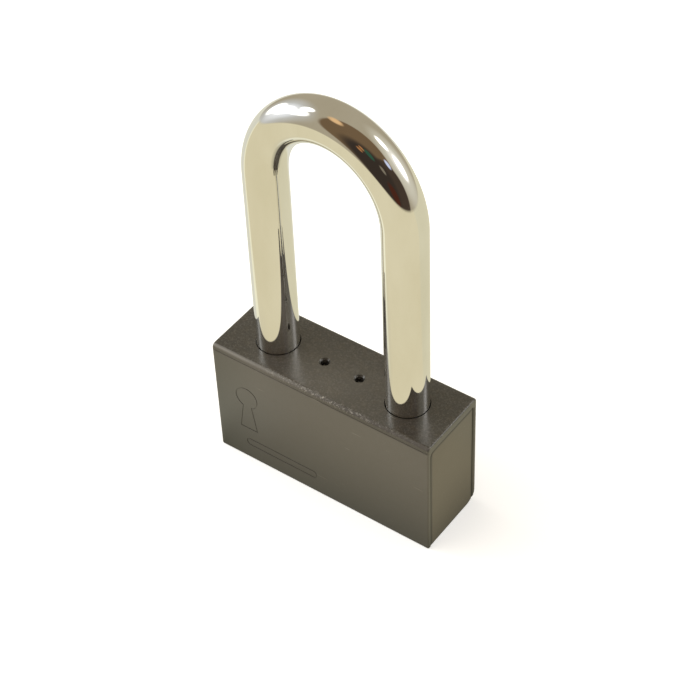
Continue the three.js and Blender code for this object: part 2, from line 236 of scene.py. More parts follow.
def ball(radius, centre):
    sides = 64
    stacks = sides // 2
    profile = [(0, -radius)]
    for i in range(1, stacks):
        angle = math.pi * i / stacks
        profile.append((radius * math.sin(angle), -radius * math.cos(angle)))
    profile.append((0, radius))
    return turned(profile, sides, centre)


def arc(centre, radius, start, end, steps):
    """Points of an arc about a centre, from one angle to another in degrees."""
    angles = [math.radians(start + (end - start) * i / steps) for i in range(steps + 1)]
    return [(centre[0] + radius * math.cos(a), centre[1] + radius * math.sin(a)) for a in angles]


def rounded_rectangle(low, high, radii, inset=0.0, steps=10):
    """Corners from (low, low) round to (low, high), each with its radius, all drawn in by inset."""
    corners = ((low[0], low[1], 1, 1), (high[0], low[1], -1, 1),
               (high[0], high[1], -1, -1), (low[0], high[1], 1, -1))
    outline = []
    for turn, ((a, b, into_a, into_b), radius) in enumerate(zip(corners, radii)):
        if radius == 0:
            outline.append((a + into_a * inset, b + into_b * inset))
            continue
        kept = max(radius - inset, 0.02)
        centre = (a + into_a * (inset + kept), b + into_b * (inset + kept))
        outline += arc(centre, kept, 180 + 90 * turn, 270 + 90 * turn, steps)
    return outline


def rounded_ends(half_length, edge):
    """(place, inset) pairs that carry an outline from end to end and round off both end edges."""
    steps = 4
    stations = []
    for i in range(steps + 1):
        angle = math.pi / 2 * i / steps
        stations.append((half_length - edge * (1 - math.sin(angle)), edge * (1 - math.cos(angle))))
    return [(-place, inset) for place, inset in reversed(stations)] + stations


def along_x(stations, outline_at):
    """A bar along X through (place, inset) stations. outline_at(inset) gives its (y, z) section."""
    return loft([[Vector((x, y, z)) for y, z in outline_at(inset)] for x, inset in stations])


def upright(stations, outline_at, middle=0.0):
    """The same standing along Z, with (x, y) sections and its stations counted from a middle."""
    return loft([[Vector((x, y, middle + z)) for x, y in outline_at(inset)] for z, inset in stations])


def bore(radius, floor, mouth, x=0.0, y=0.0, flare=EDGE_FLARE, count=64):
    """A cutter for an upright round hole from its floor to its mouth, which has a chamfer."""
    way = math.copysign(1, mouth - floor)
    out = mouth + way * PAST
    profile = ((0, floor), (radius, floor), (radius, mouth - way * flare),
               (radius + flare + PAST, out), (0, out))
    return turned(profile, count, (x, y, 0))


def cross_bore(radius, half_length, count, place, axis):
    """A cutter for a round hole that runs both ways from a place along an axis."""
    profile = ((0, -half_length), (radius, -half_length), (radius, half_length), (0, half_length))
    return turned(profile, count, place, axis)


def placed(name, bm):
    """A new object in the scene with a bmesh's shape. The bmesh is used up."""
    mesh = bpy.data.meshes.new(name)
    bm.to_mesh(mesh)
    bm.free()
    made = bpy.data.objects.new(name, mesh)
    bpy.context.scene.collection.objects.link(made)
    return made


def combined(target, others, operation="DIFFERENCE"):
    """The target with the other bodies cut out of it, joined to it or kept in common with it."""
    made = placed("target", target)
    helpers = []
    for other in others:
        helper = placed("helper", other)
        modifier = made.modifiers.new("cut", "BOOLEAN")
        modifier.object = helper
        modifier.operation = operation
        modifier.solver = "EXACT"
        helpers.append(helper)
    bpy.context.view_layer.update()
    evaluated = made.evaluated_get(bpy.context.evaluated_depsgraph_get())
    result = bmesh.new()
    result.from_mesh(evaluated.to_mesh())
    evaluated.to_mesh_clear()
    for used in [made, *helpers]:
        mesh = used.data
        bpy.data.objects.remove(used)
        bpy.data.meshes.remove(mesh)
    bmesh.ops.remove_doubles(result, verts=result.verts, dist=SAME_PLACE)
    return result


def stand_for(node, bm, smooth_angle=32, weighted=True):
    """Makes a millimetre mesh the piece that stands for a CAD node, on its body, in its finish."""
    bmesh.ops.scale(bm, vec=(METRES, METRES, METRES), verts=bm.verts)
    piece = placed(node + "_look", bm)
    mesh = piece.data
    mesh.polygons.foreach_set("use_smooth", [True] * len(mesh.polygons))
    mesh.set_sharp_from_angle(angle=math.radians(smooth_angle))
    if weighted:
        modifier = piece.modifiers.new("flat faces stay flat", "WEIGHTED_NORMAL")
        modifier.keep_sharp = True
    slot = slot_of[node]
    mesh.materials.append(materials[slot])
    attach(piece, body_of[node])
    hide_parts(node)
    return piece


# ------------------------------------------------------------------ materials

class Nodes:
    """A small builder for one material's node tree."""

    def __init__(self, name):
        self.material = bpy.data.materials.new(name)
        self.material.use_nodes = True
        self.tree = self.material.node_tree
        self.shader = self.tree.nodes["Principled BSDF"]
        self.place = self.add("ShaderNodeTexCoord").outputs["Object"]

    def add(self, kind, inputs=None, **settings):
        node = self.tree.nodes.new(kind)
        for key, value in settings.items():
            setattr(node, key, value)
        for key, value in (inputs or {}).items():
            self.feed(node.inputs[key], value)
        return node

    def feed(self, socket, value):
        if isinstance(value, bpy.types.NodeSocket):
            self.tree.links.new(value, socket)
        else:
            socket.default_value = value

    def math(self, operation, *values):
        node = self.add("ShaderNodeMath", operation=operation)
        for socket, value in zip(node.inputs, values):
            self.feed(socket, value)
        return node.outputs[0]

    def product(self, *values):
        result = values[0]
        for value in values[1:]:
            result = self.math("MULTIPLY", result, value)
        return result

    def vector(self, operation, first, second=(0, 0, 0)):
        return self.add("ShaderNodeVectorMath", {0: first, 1: second}, operation=operation).outputs[0]

    def axes(self):
        """The x, y and z of a point in metres."""
        return self.add("ShaderNodeSeparateXYZ", {0: self.place}).outputs

    def length(self, vector):
        return self.add("ShaderNodeVectorMath", {0: vector}, operation="LENGTH").outputs["Value"]

    def noise(self, scale, detail, stretch=(1, 1, 1), turn=(0, 0, 0), roughness=0.5):
        inputs = {"Vector": self.place, "Rotation": turn, "Scale": stretch}
        vector = self.add("ShaderNodeMapping", inputs).outputs[0]
        inputs = {"Vector": vector, "Scale": scale, "Detail": detail, "Roughness": roughness}
        return self.add("ShaderNodeTexNoise", inputs).outputs["Fac"]

    def ramp(self, value, low, high, to_low=0.0, to_high=1.0):
        """A value between low and high, carried over to lie between to_low and to_high."""
        inputs = {"Value": value, "From Min": low, "From Max": high, "To Min": to_low, "To Max": to_high}
        return self.add("ShaderNodeMapRange", inputs, clamp=True).outputs["Result"]

    def mix(self, share, first, second):
        node = self.add("ShaderNodeMix", data_type="RGBA")
        self.feed(node.inputs[0], share)
        self.feed(node.inputs[6], first)
        self.feed(node.inputs[7], second)
        return node.outputs[2]

    def nearness(self, point, reach, flat=(1, 1, 1)):
        """1 at a point in metres, falling to 0 at reach from it. flat leaves an axis out with a 0."""
        offset = self.vector("MULTIPLY", self.vector("SUBTRACT", self.place, point), flat)
        return self.ramp(self.length(offset), 0.0, reach, 1.0, 0.0)

    def bump(self, height, strength, distance):
        inputs = {"Height": height, "Strength": strength, "Distance": distance}
        self.feed(self.shader.inputs["Normal"], self.add("ShaderNodeBump", inputs).outputs["Normal"])

    def set(self, **values):
        for name, value in values.items():
            self.feed(self.shader.inputs[name.replace("_", " ")], value)


def edge_closeness(nodes, low, high, reach):
    """1 on the edges of the box from low to high, in metres, falling to 0 at reach from them."""
    to_face = []
    for coordinate, start, end in zip(nodes.axes(), low, high):
        from_middle = nodes.math("ABSOLUTE", nodes.math("SUBTRACT", coordinate, (start + end) / 2))
        to_face.append(nodes.math("SUBTRACT", (end - start) / 2, from_middle))
    x, y, z = to_face
    nearer = nodes.math("MINIMUM", x, y)
    farther = nodes.math("MAXIMUM", x, y)
    second_nearest = nodes.math("MAXIMUM", nearer, nodes.math("MINIMUM", farther, z))
    return nodes.ramp(second_nearest, 0.0, reach, 1.0, 0.0)


def rubbed_edges_and_highlight(nodes, low, high):
    """How far a coat is rubbed off, with flecks along the front top edge and at corners, and a painted
    highlight: a thin light line along the front top edge, fading towards the toe end.
    """
    x, _, z = nodes.axes()
    grain = nodes.ramp(nodes.noise(2300, 3, roughness=0.65), 0.53, 0.60)
    front_top = (0, low.y + 0.00035, high.z - 0.00035)
    along_x_only = (0, 1, 1)
    on_line = nodes.nearness(front_top, 0.0007, flat=along_x_only)
    # painted highlight: a thin light line along the front top edge, fading towards the toe end
    thin = nodes.product(on_line, nodes.ramp(x, -0.025, 0.005, 0.45, 0.03))
    along_edge = nodes.nearness(front_top, 0.0010, flat=along_x_only)
    near_middle = nodes.nearness((0, 0, 0), 0.032, flat=(1, 0, 0))
    near_top = nodes.ramp(z, high.z - 0.003, high.z, 0.03, 0.3)
    elsewhere = nodes.product(edge_closeness(nodes, low, high, 0.0010), near_top)
    flecks = nodes.product(grain, nodes.math("MAXIMUM", nodes.product(along_edge, near_middle), elsewhere))
    return nodes.math("MAXIMUM", flecks, thin)


def painted_seam_shade(nodes, low, high):
    """Painted shade: dark along every edge of a block let into a sleeve, where the seam between them lies
    in shade.
    """
    return edge_closeness(nodes, low, high, 0.0007)


def black_coat(name, colour, low, high, edge_mark, edge_colour):
    """Satin black over steel: grainy and mottled on top, smoother below, marked along its edges. It carries
    painted light and shade: the front lighter high up, a dark band under the front top edge.
    """
    nodes = Nodes(name)
    brown = (0.080, 0.066, 0.048, 1)
    bare = (0.36, 0.34, 0.30, 1)
    dark_grain_and_shade = (0.018, 0.017, 0.015, 1)
    painted_front_light = (0.130, 0.119, 0.122, 1)

    # where on the box a point is: each of these is 0 to 1
    x, y, z = nodes.axes()
    on_top = nodes.ramp(z, high.z - 0.00015, high.z - 0.00002)
    on_front = nodes.ramp(y, low.y + 0.0001, low.y + 0.0006, 1.0, 0.0)
    # how much painted light the front gets: more high up and away from the heel end
    high_up = nodes.product(nodes.ramp(z, 0.004, 0.028, 0.45, 1.0),
                            nodes.ramp(x, -0.031, -0.019, 0.3, 1.0))
    # painted shade: a dark band just under the front top edge, stronger towards the toe end
    under_edge = nodes.product(nodes.nearness((0, low.y, high.z - 0.0012), 0.0011, flat=(0, 1, 1)),
                               nodes.ramp(x, -0.022, 0.010, 0.1, 0.75))
    # the top made lighter towards its middle, between the legs
    lighter_top_middle = nodes.product(on_top, nodes.nearness((0, -0.006, 0), 0.016, flat=(0.6, 1, 0)))
    mark = edge_mark(nodes, low, high)

    # the coat's own unevenness
    clouds = nodes.noise(55, 3)
    mottle = nodes.noise(480, 4, roughness=0.6)
    grain = nodes.noise(1900, 4, roughness=0.75)
    peel = nodes.noise(900, 3)
    scratch = nodes.ramp(nodes.noise(1500, 1, stretch=(0.08, 1, 1), turn=(0.3, 0.3, -0.3)), 0.76, 0.79)
    dust = nodes.ramp(nodes.noise(5200, 1), 0.72, 0.80, 0.0, 0.28)

    rusty = nodes.product(nodes.ramp(mottle, 0.40, 0.68), nodes.ramp(on_top, 0, 1, 0.1, 0.4))
    dark_specks = nodes.product(on_top, nodes.ramp(grain, 0.40, 0.58, 0.32, 0.0))
    pale_specks = nodes.product(on_top, nodes.ramp(grain, 0.50, 0.68, 0.0, 0.12))
    # painted light: the front made lighter high up and away from its heel end
    shade = nodes.mix(nodes.product(on_front, high_up), colour, painted_front_light)
    shade = nodes.mix(rusty, shade, brown)
    shade = nodes.mix(dark_specks, shade, dark_grain_and_shade)
    shade = nodes.mix(pale_specks, shade, bare)
    # painted shade in the band under the front top edge
    shade = nodes.mix(under_edge, shade, dark_grain_and_shade)
    shade = nodes.mix(nodes.product(lighter_top_middle, 0.18), shade, bare)
    shade = nodes.mix(nodes.math("MAXIMUM", dust, nodes.product(scratch, 0.35)), shade, bare)
    # the edge mark: rubbed flecks and a painted highlight line on the sleeve, painted seam shade on the
    # block
    shade = nodes.mix(nodes.product(mark, 0.9), shade, edge_colour)

    rough = nodes.ramp(clouds, 0.25, 0.75, 0.28, 0.35)
    rough = nodes.math("SUBTRACT", rough, nodes.product(on_top, 0.10))
    rough = nodes.math("ADD", rough, nodes.product(mark, 0.2))
    nodes.set(Base_Color=shade, Roughness=rough, IOR=1.87)
    relief = nodes.math("ADD", nodes.product(grain, nodes.ramp(on_top, 0, 1, 0.3, 1.6)), peel)
    relief = nodes.math("SUBTRACT", relief, nodes.product(mark, 0.8))
    relief = nodes.math("SUBTRACT", relief, nodes.product(scratch, 0.4))
    nodes.bump(relief, 0.3, 0.00004)
    return nodes.material


def chrome(name):
    """Bright plating with faint handling smudges and hairline scratches round the bar."""
    nodes = Nodes(name)
    clean = (0.91, 0.905, 0.89, 1)
    dulled = (0.84, 0.825, 0.78, 1)
    smudge = nodes.noise(90, 4, stretch=(1, 1, 0.4))
    ripple = nodes.noise(130, 2, stretch=(1, 1, 0.25))
    hairlines = nodes.noise(1500, 2, stretch=(1, 1, 0.05))
    tint = nodes.mix(nodes.ramp(smudge, 0.35, 0.70), clean, dulled)
    rough = nodes.ramp(smudge, 0.4, 0.8, 0.035, 0.075)
    nodes.set(Base_Color=tint, Metallic=1.0, Roughness=rough)
    nodes.bump(nodes.math("ADD", nodes.product(hairlines, 0.04), ripple), 0.12, 0.00005)
    return nodes.material


def machined_metal(name, colour, dull_colour, roughness):
    """Bare metal with tool marks, an uneven tarnish and a little grime."""
    nodes = Nodes(name)
    grime = [channel * 0.4 for channel in dull_colour[:3]] + [1.0]
    marks = nodes.noise(260, 4, stretch=(1, 1, 9))
    tarnish = nodes.noise(180, 3)
    pits = nodes.ramp(nodes.noise(2600, 2), 0.66, 0.78)
    tint = nodes.mix(nodes.ramp(tarnish, 0.40, 0.70), colour, dull_colour)
    tint = nodes.mix(nodes.product(pits, 0.4), tint, grime)
    rough = nodes.ramp(tarnish, 0.3, 0.7, roughness, roughness + 0.14)
    nodes.set(Base_Color=tint, Metallic=1.0, Roughness=rough)
    nodes.bump(nodes.math("SUBTRACT", marks, nodes.product(pits, 0.3)), 0.12, 0.00004)
    return nodes.material


materials = {
    # the sleeve's edges: rubbed flecks and a painted highlight line
    "black_coat": black_coat("black coat", (0.054, 0.052, 0.049, 1), cad_low, sleeve_high * METRES,
                             rubbed_edges_and_highlight, (0.62, 0.60, 0.55, 1)),
    # the block's edges: painted seam shade
    "black_block": black_coat("black block", (0.080, 0.062, 0.044, 1), block_low * METRES,
                              block_high * METRES, painted_seam_shade, (0.010, 0.009, 0.007, 1)),
    "chrome": chrome("chrome"),
    "hard_steel": machined_metal("hard steel", (0.62, 0.63, 0.65, 1), (0.50, 0.50, 0.50, 1), 0.14),
    "spring_steel": machined_metal("spring steel", (0.46, 0.47, 0.50, 1), (0.33, 0.32, 0.31, 1), 0.26),
    "zinc_steel": machined_metal("zinc steel", (0.44, 0.44, 0.44, 1), (0.28, 0.27, 0.26, 1), 0.34),
    "nickel_silver": machined_metal("nickel silver", (0.68, 0.64, 0.55, 1), (0.54, 0.49, 0.40, 1), 0.24),
    "brass": machined_metal("brass", (0.78, 0.58, 0.28, 1), (0.60, 0.42, 0.20, 1), 0.24),
}


# ------------------------------------------------------------------ case

def case_outline(inset):
    """The sleeve's (y, z) section from outside, clockwise from its front bottom edge."""
    radii = (FRONT_BOTTOM_EDGE, BACK_BOTTOM_EDGE, BACK_TOP_EDGE, FRONT_TOP_EDGE)
    return rounded_rectangle((-sleeve_high.y, 0), (sleeve_high.y, sleeve_high.z), radii, inset)


def fill_outline(side, top, inset=0.0):
    """The (y, z) section of the room in the sleeve, up to its side walls and its top wall."""
    side -= inset
    top -= inset
    edge = BACK_BOTTOM_EDGE - inset
    edge_y = sleeve_high.y - BACK_BOTTOM_EDGE
    meets_side = -math.degrees(math.acos(min((side - edge_y) / edge, 1)))
    outline = [(-side, inset)]
    outline += arc((edge_y, BACK_BOTTOM_EDGE), edge, -90, meets_side, 8)
    outline += arc((side - INNER_RADIUS, top - INNER_RADIUS), INNER_RADIUS, 0, 90, 8)
    outline += [(-side + INNER_BEVEL, top), (-side, top - INNER_BEVEL)]
    return outline


def keyhole(width):
    """A keyhole's (x, z) outline about its own middle, width wider all round than its centre line."""
    head = 3.3 + width
    neck = 1.3 + width
    neck_angle = math.degrees(math.asin(neck / head))
    foot = 2.6 + width
    head_z = 3.6
    foot_z = -7.4 - width
    outline = arc((0, head_z), head, -90 + neck_angle, 270 - neck_angle, 28)
    return outline + [(-foot, foot_z), (foot, foot_z)]


def label_line(width):
    """A long rounded field's (x, z) outline about its own middle."""
    half = (11.0 + width, 1.1 + width)
    end_radius = half[1] - 0.1
    return rounded_rectangle((-half[0], -half[1]), half, (end_radius,) * 4)


def engraved(outline_at, place):
    """A cutter for an outline engraved in the case's front, its middle at (x, z)."""
    depth = 0.10
    half_groove = 0.13
    x, z = place
    face = -sleeve_high.y
    rims = []
    for width, reach in ((half_groove, 0), (-half_groove, PAST)):
        outline = outline_at(width)
        ends = (face - PAST - reach, face + depth + reach)
        rims.append(loft([[Vector((x + a, y, z + b)) for a, b in outline] for y in ends]))
    return combined(rims[0], rims[1:])


def front_groove(half_length):
    """A cutter for the shallow line pressed in just under the front's rounded top edge."""
    depth = 0.13
    half_width = 1.6  # of the cutter, where it starts outside the front
    height = sleeve_high.z - FRONT_TOP_EDGE - 0.45
    face = -sleeve_high.y
    mouth = face - PAST
    section = ((mouth, height - half_width), (face + depth, height), (mouth, height + half_width))
    return along_x(((-half_length, 0), (half_length, 0)), lambda inset: section)


def sleeve():
    """The folded steel sleeve: open below and at its ends, engraved on its front."""
    shell = along_x(rounded_ends(sleeve_high.x, SLEEVE_END_EDGE), case_outline)
    inside = sleeve_high.x - SEAM_FLARE
    outside = sleeve_high.x + PAST
    flare = SEAM_FLARE + PAST
    room = ((-outside, -flare), (-inside, 0), (inside, 0), (outside, -flare))

    def channel(inset):
        low, high = (-CASE_INNER, -2 * PAST), (CASE_INNER, CASE_UNDERSIDE)
        return rounded_rectangle(low, high, (0, 0, INNER_RADIUS, INNER_BEVEL), inset)

    cutters = [along_x(room, channel)]
    below = CASE_UNDERSIDE - PAST
    for side in BOTH_SIDES:
        pin_x = side * SLEEVE_PIN_X
        cutters.append(bore(BORE_RADIUS, below, sleeve_high.z, side * LEG_X, count=BORE_SIDES))
        cutters.append(bore(SLEEVE_PIN_HOLE, below, sleeve_high.z, pin_x, flare=SLEEVE_PIN_SINK))
    cutters.append(front_groove(outside))
    cutters.append(engraved(keyhole, KEYHOLE_PLACE))
    cutters.append(engraved(label_line, LABEL_PLACE))
    stand_for("case_sleeve", combined(shell, cutters))


def lock_block():
    """The solid block in the sleeve, bored for the legs, the cylinder, the balls and the fastenings."""
    side = CASE_INNER - SEAM
    top = CASE_UNDERSIDE - SEAM
    core = along_x(rounded_ends(block_high.x, BLOCK_END_EDGE), lambda inset: fill_outline(side, top, inset))
    seat_low = (plate_low.x - GAP, plate_low.y - GAP)
    seat_high = (plate_high.x + GAP, plate_high.y + GAP)
    seat = rounded_rectangle(seat_low, seat_high, (PLATE_SEAT_CORNER,) * 4)
    pin_middle = box_and_middle("shackle_retaining_pin")[2]
    lobe_side = LOBE_HALF_WIDTH + GAP
    lobe_high = (housing_high.x + GAP, lobe_side)
    lobe_room = rounded_rectangle((0, -lobe_side), lobe_high, (0, LOBE_EDGE, LOBE_EDGE, 0))
    cavity = ((0, CAVITY_FLOOR), (CAVITY_RADIUS, CAVITY_FLOOR),
              (CAVITY_RADIUS, CAVITY_TOP), (0, CAVITY_TOP))
    cutters = [
        bore(BORE_RADIUS, HEEL_BORE_FLOOR, top, -LEG_X, count=BORE_SIDES),
        bore(BORE_RADIUS, TOE_BORE_FLOOR, top, LEG_X, count=BORE_SIDES),
        turned(cavity, BORE_SIDES),
        cross_bore(POCKET_RADIUS, LEG_X, 64, (0, 0, BALL_HEIGHT), X_AXIS),
        upright(((CAVITY_FLOOR, 0), (LOBE_TOP + GAP, 0)), lambda inset: lobe_room),
        upright(((-PAST, 0), (PLATE_SEAT_DEPTH, 0)), lambda inset: seat),
        cross_bore(RETAINING_PIN_BORE, CASE_INNER, PIN_SIDES, pin_middle, Y_AXIS),
    ]
    for way in BOTH_SIDES:
        pin_x = way * SLEEVE_PIN_X
        cutters.append(bore(SLEEVE_PIN_HOLE, BALL_HEIGHT, top + PAST, pin_x, flare=0, count=PIN_SIDES))
    for screw in SCREWS:
        _, high, middle = box_and_middle(screw)
        cutters.append(bore(SCREW_RADIUS + GAP, high.z + GAP, -PAST, middle.x, middle.y, flare=0, count=32))
    stand_for("lock_block", combined(core, cutters))


def bottom_plate():
    """The cover under the cylinder. Its back edge is rounded off together with the block's."""
    half_height = (plate_high.z - plate_low.z) / 2
    low, high = (plate_low.x, plate_low.y), (plate_high.x, plate_high.y)
    radii = (PLATE_CORNER,) * 4
    stations = rounded_ends(half_height, 0.15)
    plate = upright(stations, lambda inset: rounded_rectangle(low, high, radii, inset), half_height)
    beyond = plate_high.x + PAST
    room = fill_outline(CASE_INNER - GAP, CASE_UNDERSIDE)
    trim = along_x(((-beyond, 0), (beyond, 0)), lambda inset: room)
    plate = combined(plate, [trim], "INTERSECT")
    above = plate_high.z + PAST
    cutters = [bore(plug_high.x + GAP, above, 0, flare=0.25, count=BORE_SIDES)]
    for screw in SCREWS:
        low, high, middle = box_and_middle(screw)
        sink = (high.x - low.x) / 2 - SCREW_RADIUS
        cutters.append(bore(SCREW_RADIUS + GAP, above, 0, middle.x, middle.y, flare=sink, count=48))
    stand_for("bottom_plate", combined(plate, cutters))


def bottom_screw(node):
    """A countersunk screw with a hexagon socket, its head down."""
    low, high, middle = box_and_middle(node)
    head = (high.x - low.x) / 2
    rim = 0.12
    plain_end = 0.4  # length without a thread at each end of the shank
    thread_depth = 0.16
    pitch = 0.5
    socket_radius = 0.75
    socket_depth = 0.8
    shank_start = low.z + rim + head - SCREW_RADIUS
    profile = [(0, low.z), (head - rim, low.z), (head, low.z + rim), (SCREW_RADIUS, shank_start)]
    z = shank_start + plain_end
    while z + pitch < high.z - plain_end:
        profile += [(SCREW_RADIUS, z), (SCREW_RADIUS - thread_depth, z + pitch / 2)]
        z += pitch
    profile += [(SCREW_RADIUS, z), (SCREW_RADIUS - plain_end, high.z), (0, high.z)]
    screw = turned(profile, PIN_SIDES, (middle.x, middle.y, 0))
    socket = bore(socket_radius, low.z + socket_depth, low.z, middle.x, middle.y, flare=0.08, count=6)
    stand_for(node, combined(screw, [socket]))


def sleeve_pin(node):
    """A short pin with a domed top, sunk in the case's top."""
    low, high, middle = box_and_middle(node)
    radius = (high.x - low.x) / 2
    dome = 0.3
    dome_steps = 6
    profile = [(0, low.z), (radius - dome, low.z), (radius, low.z + dome)]
    for i in range(dome_steps):
        angle = math.pi / 2 * i / dome_steps
        profile.append((radius * math.cos(angle), high.z - dome * (1 - math.sin(angle))))
    profile.append((0, high.z))
    stand_for(node, turned(profile, PIN_SIDES, (middle.x, middle.y, 0)))


def retaining_pin():
    """The plain pin across the heel leg's neck that stops the shackle from coming right out."""
    low, high, middle = box_and_middle("shackle_retaining_pin")
    radius = (high.z - low.z) / 2
    half = (high.y - low.y) / 2
    profile = [(radius - inset, y) for y, inset in rounded_ends(half, 0.4)]
    profile = [(0, -half), *profile, (0, half)]
    stand_for("shackle_retaining_pin", turned(profile, PIN_SIDES, middle, Y_AXIS))


# ------------------------------------------------------------------ shackle

def heel_profile():
    """(radius, height) pairs of the heel leg's end: up its spring hole, out and up to its full round."""
    hole_cone = 0.8
    hole_flare = 0.3
    rim = 0.5
    flange_edge = 0.2
    neck_fillet = 0.8
    neck_edge = 0.3
    return [
        (0, SPRING_HOLE_TOP),
        (SPRING_HOLE_RADIUS, SPRING_HOLE_TOP - hole_cone),
        (SPRING_HOLE_RADIUS, HEEL_BOTTOM + hole_flare),
        (SPRING_HOLE_RADIUS + hole_flare, HEEL_BOTTOM),
        (LEG_RADIUS - rim, HEEL_BOTTOM),
        (LEG_RADIUS, HEEL_BOTTOM + rim),
        (LEG_RADIUS, FLANGE_TOP - flange_edge),
        (LEG_RADIUS - flange_edge, FLANGE_TOP),
        (NECK_RADIUS, FLANGE_TOP),
        (NECK_RADIUS, NECK_TOP - neck_fillet),
        (NECK_RADIUS + neck_fillet, NECK_TOP),
        (LEG_RADIUS - neck_edge, NECK_TOP),
        (LEG_RADIUS, NECK_TOP + neck_edge),
    ]


def shackle():
    """The bent bar, swept from the heel leg's end over the crown to the toe, with its ball pockets."""
    crown_steps = 96
    near_pocket = [NECK_TOP + 1 + step for step in range(11)]
    up_the_leg = near_pocket + [40, 60, 80]
    heel = heel_profile() + [(LEG_RADIUS, z) for z in up_the_leg]
    toe = [(LEG_RADIUS, z) for z in reversed(up_the_leg) if z > TOE_BOTTOM + 1]
    toe += [(LEG_RADIUS, TOE_BOTTOM + 0.8), (LEG_RADIUS - 0.25, TOE_BOTTOM + 0.2)]
    toe += [(LEG_RADIUS - 0.9, TOE_BOTTOM), (0, TOE_BOTTOM)]

    stations = [((-LEG_X, z), radius, 0.0) for radius, z in heel]
    for i in range(crown_steps + 1):
        angle = math.pi * (1 - i / crown_steps)
        place = (LEG_X * math.cos(angle), LEG_END + CROWN_RISE * math.sin(angle))
        heading = math.atan2(LEG_X * math.sin(angle), -CROWN_RISE * math.cos(angle))
        stations.append((place, LEG_RADIUS, heading))
    stations += [((LEG_X, z), radius, math.pi) for radius, z in toe]

    rings = []
    for (x, z), radius, heading in stations:
        across = Vector((math.cos(heading), 0, -math.sin(heading)))
        rings.append(circle((x, 0, z), across, Y_AXIS, radius, SHACKLE_SIDES))
    pockets = [ball(POCKET_RADIUS, (side * POCKET_X, 0, BALL_HEIGHT)) for side in BOTH_SIDES]
    stand_for("shackle", combined(loft(rings), pockets), smooth_angle=40, weighted=False)


# ------------------------------------------------------------------ springs

def smooth_step(value):
    """0 below 0, 1 above 1, and a smooth rise between."""
    value = min(max(value, 0.0), 1.0)
    return value * value * (3 - 2 * value)


def spring(node, axis, wire, turns):
    """A coil spring that fills its CAD node's box along an axis, with close end turns."""
    steps_per_turn = 24
    wire_sides = 12
    low, high, middle = box_and_middle(node)
    across, along = two_across(axis)
    coil = (high - low).dot(across) / 2 - wire
    start = low.dot(axis) + wire
    length = high.dot(axis) - wire - start
    end_pitch = 2.2 * wire
    open_pitch = (length - 2 * end_pitch) / (turns - 2)
    heights = [0.0]
    for i in range(steps_per_turn * turns):
        turn = i / steps_per_turn
        openness = smooth_step(2 * turn - 1) * smooth_step(2 * (turns - turn) - 1)
        heights.append(heights[-1] + end_pitch + (open_pitch - end_pitch) * openness)
    foot = middle + axis * (start - middle.dot(axis))
    line = []
    for i, height in enumerate(heights):
        angle = 2 * math.pi * i / steps_per_turn
        outward = math.cos(angle) * across + math.sin(angle) * along
        line.append((foot + axis * (length * height / heights[-1]) + coil * outward, outward))
    rings = []
    for i, (point, outward) in enumerate(line):
        ahead = line[min(i + 1, len(line) - 1)][0]
        behind = line[max(i - 1, 0)][0]
        side = (ahead - behind).normalized().cross(outward).normalized()
        rings.append(circle(point, outward, side, wire, wire_sides))
    return stand_for(node, loft(rings), smooth_angle=50, weighted=False)


# ------------------------------------------------------------------ ball lock

def locking_ball(node):
    middle = box_and_middle(node)[2]
    stand_for(node, ball(BALL_RADIUS, (middle.x, 0, BALL_HEIGHT)), weighted=False)


def ball_cam():
    """Two equal lobes whose radius rises evenly over a quarter turn, with room for the tailpiece."""
    low_radius = cam_high.y - CAM_RISE
    points = 128

    def rim(inset):
        outline = []
        for i in range(points):
            quarters = (4 * i / points) % 2
            radius = low_radius + CAM_RISE * (1 - abs(1 - quarters)) - inset
            angle = 2 * math.pi * i / points
            outline.append((radius * math.cos(angle), radius * math.sin(angle)))
        return outline

    half_height = (cam_high.z - cam_low.z) / 2
    cam = upright(rounded_ends(half_height, 0.35), rim, cam_low.z + half_height)
    stand_for("ball_cam", combined(cam, [tail_slot(cam_low.z - PAST, tail_high.z + GAP)]))


def tail_slot(floor, mouth):
    """A cutter for the slot that the tailpiece stands in."""
    low = (tail_low.x - GAP, tail_low.y - GAP)
    high = (tail_high.x + GAP, tail_high.y + GAP)
    outline = rounded_rectangle(low, high, (0.4,) * 4, steps=4)
    return upright(((floor, 0), (mouth, 0)), lambda inset: outline)


def tailpiece():
    """The flat blade that carries the plug's turn to the cam."""
    low, high = (tail_low.y, tail_low.z), (tail_high.y, tail_high.z)
    radii = (0.5, 0.5, 1.2, 1.2)
    stations = rounded_ends(tail_high.x, 0.2)
    stand_for("tailpiece", along_x(stations, lambda inset: rounded_rectangle(low, high, radii, inset)))


# ------------------------------------------------------------------ key cylinder

def chambers(reach, flare):
    """Cutters for the five pin chambers, from the plug's axis out to reach."""
    cutters = []
    for i in STACKS:
        height = box_and_middle(f"key_pin_{i}")[2].z
        profile = ((0, 0), (CHAMBER_RADIUS, 0), (CHAMBER_RADIUS, reach - flare),
                   (CHAMBER_RADIUS + flare + PAST, reach + PAST), (0, reach + PAST))
        cutters.append(turned(profile, PIN_SIDES, (0, 0, height), X_AXIS))
    return cutters


